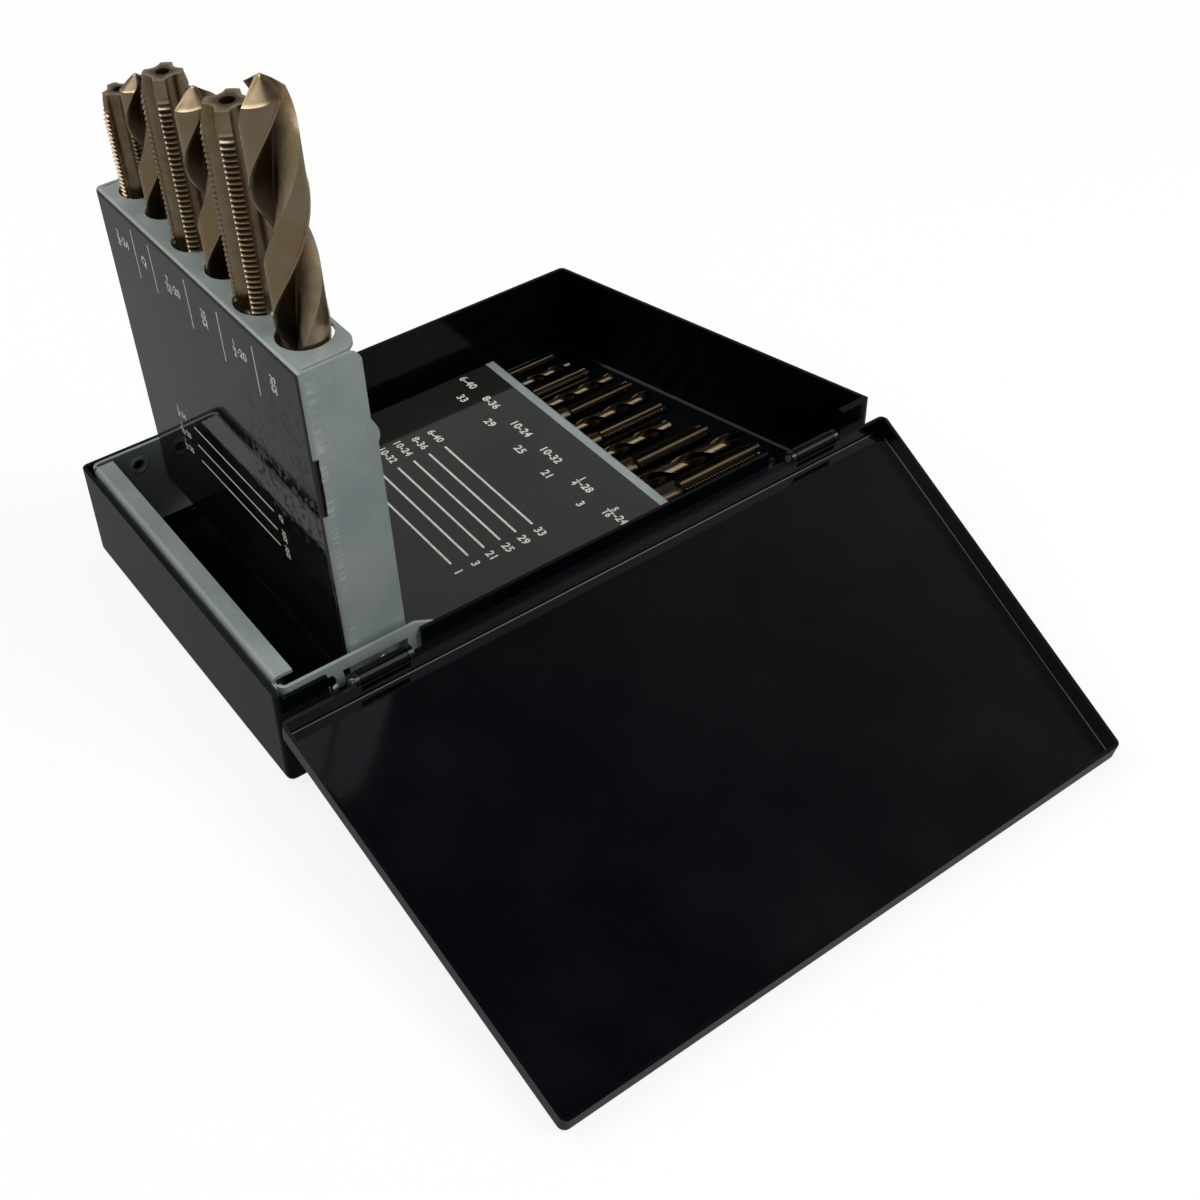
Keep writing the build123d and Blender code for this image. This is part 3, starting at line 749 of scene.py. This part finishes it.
def climb(z, angle, neck, length, pitch):
    """Rows of the thread climb by pitch * a / 2 pi, and lie flat at either end."""
    window = np.clip(np.minimum(z - neck, length - z) / (2 * pitch), 0, 1)
    ease = np.clip((angle[-1] + 0.2 - angle) / 0.2, 0, 1)
    rise = pitch * (angle / (2 * math.pi) - 0.5)
    return np.minimum(z + rise * window * ease, length)


def square_butt(angle, shank):
    """Radius of a square with the shank's round corners: half its width / cos a."""
    eighth = quarter_turn / 2
    toward = np.cos((angle + eighth) % quarter_turn - eighth)
    return np.minimum(square_share * shank / toward, shank / 2)


def hand_tap(name, size, threads, cut, shank, turned, lie, steel):
    """A tap: r(z, a) is the lesser of the thread, the grooves and the square butt, and
    the middle of one land faces the angle turned."""
    butt, length = axis_of(name, *lie)
    length /= mm
    radius, pitch = size / 2, inch / threads
    neck = length - cut - 0.1 * size
    fluted = neck - 0.35 * size
    z_thread, r_thread, root_shade, crest = thread_rows(length, neck, radius, pitch)
    shank_z = [0, 0.3, square_end, square_end + 0.4, fluted, neck - 0.4]
    shank_r = [shank / 2 - 0.3] + [shank / 2] * 5
    z = np.concatenate([shank_z, z_thread, [length]])[:, None]
    r = np.concatenate([shank_r, r_thread, r_thread[-1:]])[:, None]
    angle, edge, reach = tap_angles()
    r = cut_grooves(r, z, fluted, size, angle, edge, reach)
    r[:3] = np.minimum(r[:3], square_butt(angle, shank))
    hole = np.full(len(angle), 0.13 * size)
    tip = length - 0.26 * size
    r = np.concatenate([r, [r[-1] - 0.25, hole, hole * 0.7]])
    level = np.full(len(angle), length)
    z = np.concatenate([
        climb(z, angle, neck, length, pitch), [level, level, np.full_like(level, tip)]])
    threaded, flat, bore = slice(6, -4), slice(-4, -2), slice(-2, None)
    # depth is painted shade: it darkens the grooves, the thread roots and most of all the centre
    # hole.
    depth = 0.45 * np.clip((radius - r) / (0.5 * radius), 0, 1)
    on_land = r[threaded] >= r_thread[:, None] - 0.01
    depth[threaded] = np.where(on_land, root_shade[:, None], depth[threaded])
    depth[flat], depth[bore] = 0.15, 1.0
    ground = np.zeros_like(r)
    ground[threaded] = 0.7 * crest[:, None] * (r[threaded] > 0.9 * radius)
    turn = angle - quarter_turn / 2 + math.radians(turned)
    return finish_bit(name, "_threaded", (butt, *lie), (r, turn, z), tip,
                      np.append(depth, [0, 1]), np.append(ground, [0, 0]), steel, 28)


print("taps ready: a square", 2 * square_share, "of the shank wide")

# %% [markdown]
# Each row below is a tap: its diameter, its threads to the inch, the length of its
# thread, the diameter of its shank, and the angle that it is turned by, in degrees.

# %% Make the nine taps
large_taps = {
    "tap_3_8": (9.53, 24, 31.75, 9.68, -178), "tap_7_16": (11.11, 20, 44, 8.2, -127.5),
    "tap_1_2": (12.7, 20, 47.5, 9.32, -131.5),
}
small_taps = {
    "tap_6": (3.51, 40, 17.5, 3.58, 70), "tap_8": (4.17, 36, 19, 4.27, 48),
    "tap_10_coarse": (4.83, 24, 22.2, 4.93, 82),
    "tap_10_fine": (4.83, 32, 22.2, 4.93, 55),
    "tap_1_4": (6.35, 28, 25.4, 6.48, 75), "tap_5_16": (7.94, 24, 28.6, 8.08, 60),
}
for name, row in large_taps.items():
    hand_tap(name, *row, upright, bit_steel)
for name, row in small_taps.items():
    hand_tap(name, *row, lying, small_tap_steel)

# %% [markdown]
# ## Printing
# The sizes are silk-screened in white. Lettering is made with Blender's own font as a
# curve, turned into a mesh, and laid on the panel by the panel's own directions, which
# is what keeps it flat on a face that leans. Only plain sizes and rules are printed.
# The ink is a film about a hundredth of a millimetre thick, and its front, back and
# sides are joined along their seams.

# %% Text and bars as flat meshes
ink_film = 0.012
ink_gap = 0.004
seam = 0.0002


def letters(text, height):
    """Corners and faces of some text, centred, in millimetres, with its front, back and
    sides joined where they meet."""
    curve = bpy.data.curves.new("letters", "FONT")
    curve.body = text
    curve.size = height * 1.38
    curve.align_x, curve.align_y = "CENTER", "CENTER"
    curve.offset = 0.036 * height
    curve.space_character = 1.06
    curve.resolution_u = 3
    curve.extrude = ink_film / 2
    drawn = bpy.data.objects.new("letters", curve)
    mesh = bpy.data.meshes.new_from_object(drawn)
    whole = bmesh.new()
    whole.from_mesh(mesh)
    bmesh.ops.remove_doubles(whole, verts=whole.verts, dist=seam)
    whole.to_mesh(mesh)
    whole.free()
    co = np.empty(len(mesh.vertices) * 3, np.float32)
    mesh.vertices.foreach_get("co", co)
    faces = [list(p.vertices) for p in mesh.polygons]
    bpy.data.objects.remove(drawn)
    bpy.data.curves.remove(curve)
    bpy.data.meshes.remove(mesh)
    return co.reshape(-1, 3), faces


def bar(width, height):
    """Corners and faces of a thin block, centred."""
    half = np.array([width, height, ink_film]) / 2
    signs = np.array([[x, y, z] for z in (-1, 1) for y in (-1, 1) for x in (-1, 1)])
    faces = [[0, 2, 3, 1], [4, 5, 7, 6], [0, 1, 5, 4], [2, 6, 7, 3], [0, 4, 6, 2],
             [1, 3, 7, 5]]
    return signs * half, faces


def printing(name, marks, place, body):
    """Joins marks into one mesh. Each mark is (corners, faces, across, up), and place
    turns (across, up, out) in millimetres into metres in the row."""
    points, faces, count = [], [], 0
    for co, mark_faces, x, y in marks:
        out = co[:, 2] + ink_film / 2 + ink_gap
        points.append(place(co[:, 0] + x, co[:, 1] + y, out))
        faces += [[v + count for v in f] for f in mark_faces]
        count += len(co)
    mesh = bpy.data.meshes.new(name)
    mesh.from_pydata(np.concatenate(points).tolist(), [], faces)
    mesh.validate()
    mesh.materials.append(ink_white.material)
    piece = bpy.data.objects.new(name, mesh)
    bpy.context.scene.collection.objects.link(piece)
    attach(piece, body)
    print(name, "marks", len(marks), "faces", len(faces))
    return piece


def fraction(over, under, rest, height, x, y):
    """A stacked fraction with a bar, then the rest of the size beside it."""
    small = height * 0.82
    lift = height * 0.58
    wide = 0.62 * small * max(len(over), len(under))
    marks = [(*letters(over, small), x, y + lift),
             (*letters(under, small), x, y - lift),
             (*bar(wide + 0.5, 0.16 * height), x, y)]
    if rest:
        away = wide / 2 + 0.34 * height * len(rest) + 0.35
        marks.append((*letters(rest, height), x + away, y))
    return marks


# %% [markdown]
# On the large panel the sizes stand under the holes with short rules between them, and
# a small chart below joins each tap to its drill. Across, distances run from the back
# wall towards the hinge wall, which is the way the print reads.

# %% Print the large panel


def large_place(x, y, out):
    """Text runs from the back wall to the hinge wall, and y is minus the way down."""
    return on_large(-x, -y, -out)


marks = []
for y, down in ((30.1, 9.65), (20.9, 9.25), (3.0, 9.45), (-12.3, 9.9), (-28.0, 10.2)):
    marks.append((*bar(0.42, 12.9), -y, -down))
big, chart_size = 2.3, 1.75
size_line = -9.4
marks += fraction("3", "8", "-24", big, -39.2, size_line)
marks.append((*letters("Q", big), -25.6, size_line))
marks += fraction("7", "16", "-20", big, -13.2, size_line)
marks += fraction("25", "64", "", big, 4.6, size_line)
marks += fraction("1", "2", "-20", big, 18.6, size_line)
marks += fraction("29", "64", "", big, 35.8, size_line)
tap_column, rule_middle, drill_column = -26.5, 2.0, 25.4
chart = ((52.9, ("3", "8", "-24"), "Q"), (58.4, ("7", "16", "-20"), ("25", "64")),
         (63.3, ("1", "2", "-20"), ("29", "64")))
for down, tap, drill in chart:
    marks.append((*bar(40.0, 0.5), rule_middle, -down))
    marks += fraction(*tap, chart_size, tap_column, -down)
    if drill == "Q":
        marks.append((*letters("Q", chart_size), drill_column, -down))
    else:
        marks += fraction(*drill, "", chart_size, drill_column, -down)
printing("large_panel_print", marks, large_place, "large_panel")

# %% [markdown]
# On the small panel every tap and every drill has its size beside its hole, and a chart
# of six rules pairs them again. Places are measured from the case's left end and from
# its hinge wall.

# %% Print the small panel


def small_place(x, y, out):
    """Text runs towards the hinge wall and its tops point along the bits."""
    return on_small(y, -x, out)


def from_corner(x, y):
    """Across and up for a place x from the left end and y from the hinge wall."""
    return half_depth - y, x - half_length


marks = []
taps_row = (("6-40", 112.2, 93.0), ("8-36", 112.0, 80.9), ("10-24", 111.6, 65.6),
            ("10-32", 111.2, 50.9))
drills_row = (("33", 106.6, 87.6), ("29", 106.3, 73.2), ("25", 105.9, 58.0),
              ("21", 105.5, 44.6), ("3", 105.1, 29.2), ("I", 104.7, 13.2))
for text, x, y in taps_row:
    marks.append((*letters(text, 2.5), *from_corner(x, y)))
marks += fraction("1", "4", "-28", 2.4, *from_corner(110.4, 37.2))
marks += fraction("5", "16", "-24", 2.4, *from_corner(109.6, 21.8))
for text, x, y in drills_row:
    marks.append((*letters(text, 2.5), *from_corner(x, y)))
chart = (("6-40", "33", 90.4), ("8-36", "29", 85.2), ("10-24", "25", 80.2),
         ("10-32", "21", 75.2), ("1/4-28", "3", 70.2), ("5/16-24", "I", 65.0))
for tap, drill, x in chart:
    marks.append((*bar(41.6, 0.62), *from_corner(x, 51.1)))
    marks.append((*letters(tap, 2.3), *from_corner(x + 0.5, 73.5 + len(tap))))
    marks.append((*letters(drill, 2.4), *from_corner(x - 0.2, 26.6)))
printing("small_panel_print", marks, small_place, "small_panel")

# %% [markdown]
# ## Studs with collars
# Each panel turns on two studs. A collar keeps the cheek off the bracket, and the end
# is domed where it was dressed. A revolved profile does all of it: the profile is a
# short list of radii along the stud, and rows of it are carried round the axis.

# %% Turn the studs


def turned(profile, columns=36):
    """Corners of a revolved profile, rows of (place along, radius), round the axis."""
    along, radius = np.asarray(profile, float).T
    a = np.linspace(0, 2 * math.pi, columns, endpoint=False)
    return np.stack(np.broadcast_arrays(
        radius[:, None] * np.cos(a), radius[:, None] * np.sin(a), along[:, None]), -1)


stem, collar = 1.5, 2.7
foot = 2.25


def stud_pair(node, joint, cheek):
    """Two studs, face to face: foot and cheek are distances from the hinge wall's
    outside to where a stud starts and to the panel's cheek. The second stud is the
    first turned over, so both keep their outsides out."""
    x, _, z = joints[joint]["pos_m"]
    end = cheek + 1.9
    profile = [(foot, collar - 0.15), (foot + 0.15, collar),
               (cheek - 0.45, collar), (cheek - 0.3, collar - 0.15),
               (cheek - 0.3, stem), (end - 0.5, stem), (end - 0.2, stem * 0.87),
               (end - 0.05, stem * 0.55), (end, stem * 0.2)]
    ring = turned(profile)
    rows, columns = ring.shape[:2]
    flat = ring.reshape(-1, 3)
    first = np.arange(columns)
    ends = np.stack([first[::-1], first + (rows - 1) * columns])
    points, faces = [], []
    for side, start in ((1, 0), (-1, len(flat))):
        along = side * (flat[:, 2] - half_depth)
        points.append(np.stack([
            x + flat[:, 0] * mm, along * mm, z + side * flat[:, 1] * mm], -1))
        faces += [(grid_faces(rows, columns) + start)[:, ::-1], (ends + start)[:, ::-1]]
    piece = put_mesh(node + "_turned", np.concatenate(points), faces, bright, 40)
    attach(piece, "case")
    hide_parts(node)
    print(piece.name, "faces", len(piece.data.polygons))
    return piece


stud_pair("large_panel_pivots", "large_panel_pivot", 3.9)
stud_pair("small_panel_pivots", "small_panel_pivot", 5.7)

# %% [markdown]
# ## The pressed rim of the spare hole
# The back cheek has one hole that carries nothing. Punching it raised a soft rim, which
# is a revolved profile again, closed on itself so that it has an inside and an outside.

# %% Press the rim
rim_profile = [(0.0, 2.9), (0.12, 2.75), (0.34, 2.35), (0.38, 2.0), (0.3, 1.68),
               (0.0, 1.52), (-0.05, 1.6), (-0.05, 2.8)]
ring = turned(rim_profile, 48)
rows, columns = ring.shape[:2]
flat = ring.reshape(-1, 3)
hole_x, cheek_face, hole_z = 14.6, 101.8, 23.4
rim_points = np.stack([
    (hole_x - half_length + flat[:, 0]) * mm,
    (cheek_face - half_depth - flat[:, 2]) * mm, (hole_z + flat[:, 1]) * mm], -1)
quads = grid_faces(rows, columns)
closing = grid_faces(2, columns)
last_row = (rows - 1) * columns
closing = np.where(closing >= columns, closing - columns, closing + last_row)
rim = put_mesh("spare_hole_rim", rim_points, [quads, closing], bracket_paint, 50)
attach(rim, "case")
print("rim faces", len(rim.data.polygons))

# %% [markdown]
# ## The floor
# The floor is plain pale paper that takes the case's shadow. Seen by the camera it
# glows too, which lifts it to white without any more light on the case.

# %% Lay the floor
floor_reach = 3
corners = [(x * floor_reach, y * floor_reach, 0)
           for x, y in ((-1, -1), (1, -1), (1, 1), (-1, 1))]
floor_mesh = bpy.data.meshes.new("floor")
floor_mesh.from_pydata(corners, [], [[0, 1, 2, 3]])
floor = bpy.data.objects.new("floor", floor_mesh)
bpy.context.scene.collection.objects.link(floor)
floor.location.z = -0.0002
paper = Finish("floor_paper", Specular_IOR_Level=0.1)
paper.set(Base_Color=colour(0.80, 0.80, 0.80), Roughness=0.9)
nodes, links = paper.tree.nodes, paper.tree.links
rays = nodes.new("ShaderNodeLightPath")
to_camera = Wire(paper.tree, rays.outputs["Is Camera Ray"])
seen = to_camera.high(Wire(paper.tree, rays.outputs["Is Glossy Ray"]))
glow = paper.wire.node("ShaderNodeEmission", {}, {
    "Color": colour(1, 1, 1), "Strength": 0.16 + 0.84 * to_camera})
mixed = nodes.new("ShaderNodeMixShader")
links.new((0.85 * seen).socket, mixed.inputs[0])
links.new(paper.shader.outputs[0], mixed.inputs[1])
links.new(glow.socket, mixed.inputs[2])
links.new(mixed.outputs[0], nodes["Material Output"].inputs[0])
floor_mesh.materials.append(paper.material)
print("floor", 2 * floor_reach, "m wide")

# %% [markdown]
# ## The room
# The camera sees a white background. Black gloss shows mostly what it reflects, so for
# reflections the upper part of the room is dark, as a ceiling is, and the lower part is
# bright. All other light from the room is one even, modest level.

# %% Paint the room
world = bpy.data.worlds.new("room")
world.use_nodes = True
bpy.context.scene.world = world
room = Wire(world.node_tree, None)
direction = room.node("ShaderNodeTexCoord", output=0)
height = room.node("ShaderNodeSeparateXYZ", {}, {0: direction}, output=2)
rays = world.node_tree.nodes.new("ShaderNodeLightPath")
is_camera = Wire(world.node_tree, rays.outputs["Is Camera Ray"])
is_glossy = Wire(world.node_tree, rays.outputs["Is Glossy Ray"])
even = 0.38
reflected = 0.42 - 0.38 * height.step(0.62, 0.95)
strength = is_camera.high(is_glossy * reflected).high((1 - is_glossy) * even)
sky = world.node_tree.nodes["Background"]
world.node_tree.links.new(strength.socket, sky.inputs["Strength"])
sky.inputs["Color"].default_value = colour(1, 1, 1)
bpy.context.scene.view_settings.view_transform = "Standard"
print("room light", even)

# %% [markdown]
# ## The lamps
# Two large soft boxes light the case, one from each side. They stand where no glossy
# face mirrors them to the camera as a plain white patch.

# %% Hang the lamps
lamp_tint = (1.0, 0.99, 0.97)
middle = np.array([0.0, -0.03, 0.04])


def lamp(name, place, size, power):
    """A square soft box that looks at the middle of the case."""
    data = bpy.data.lights.new(name, "AREA")
    data.size, data.energy, data.color = size, power, lamp_tint
    made = bpy.data.objects.new(name, data)
    bpy.context.scene.collection.objects.link(made)
    away = np.asarray(place, float) - middle
    away /= np.linalg.norm(away)
    side = np.cross([0, 0, 1.0], away)
    side /= np.linalg.norm(side)
    pose = np.eye(4)
    pose[:3, :3] = np.stack([side, np.cross(away, side), away], axis=1)
    pose[:3, 3] = place
    made.matrix_world = Matrix(pose)
    return made


lamp("key_light", (0.48, -0.63, 0.88), 0.8, 9.2)
lamp("back_light", (-0.45, 0.50, 0.95), 1.1, 9.0)
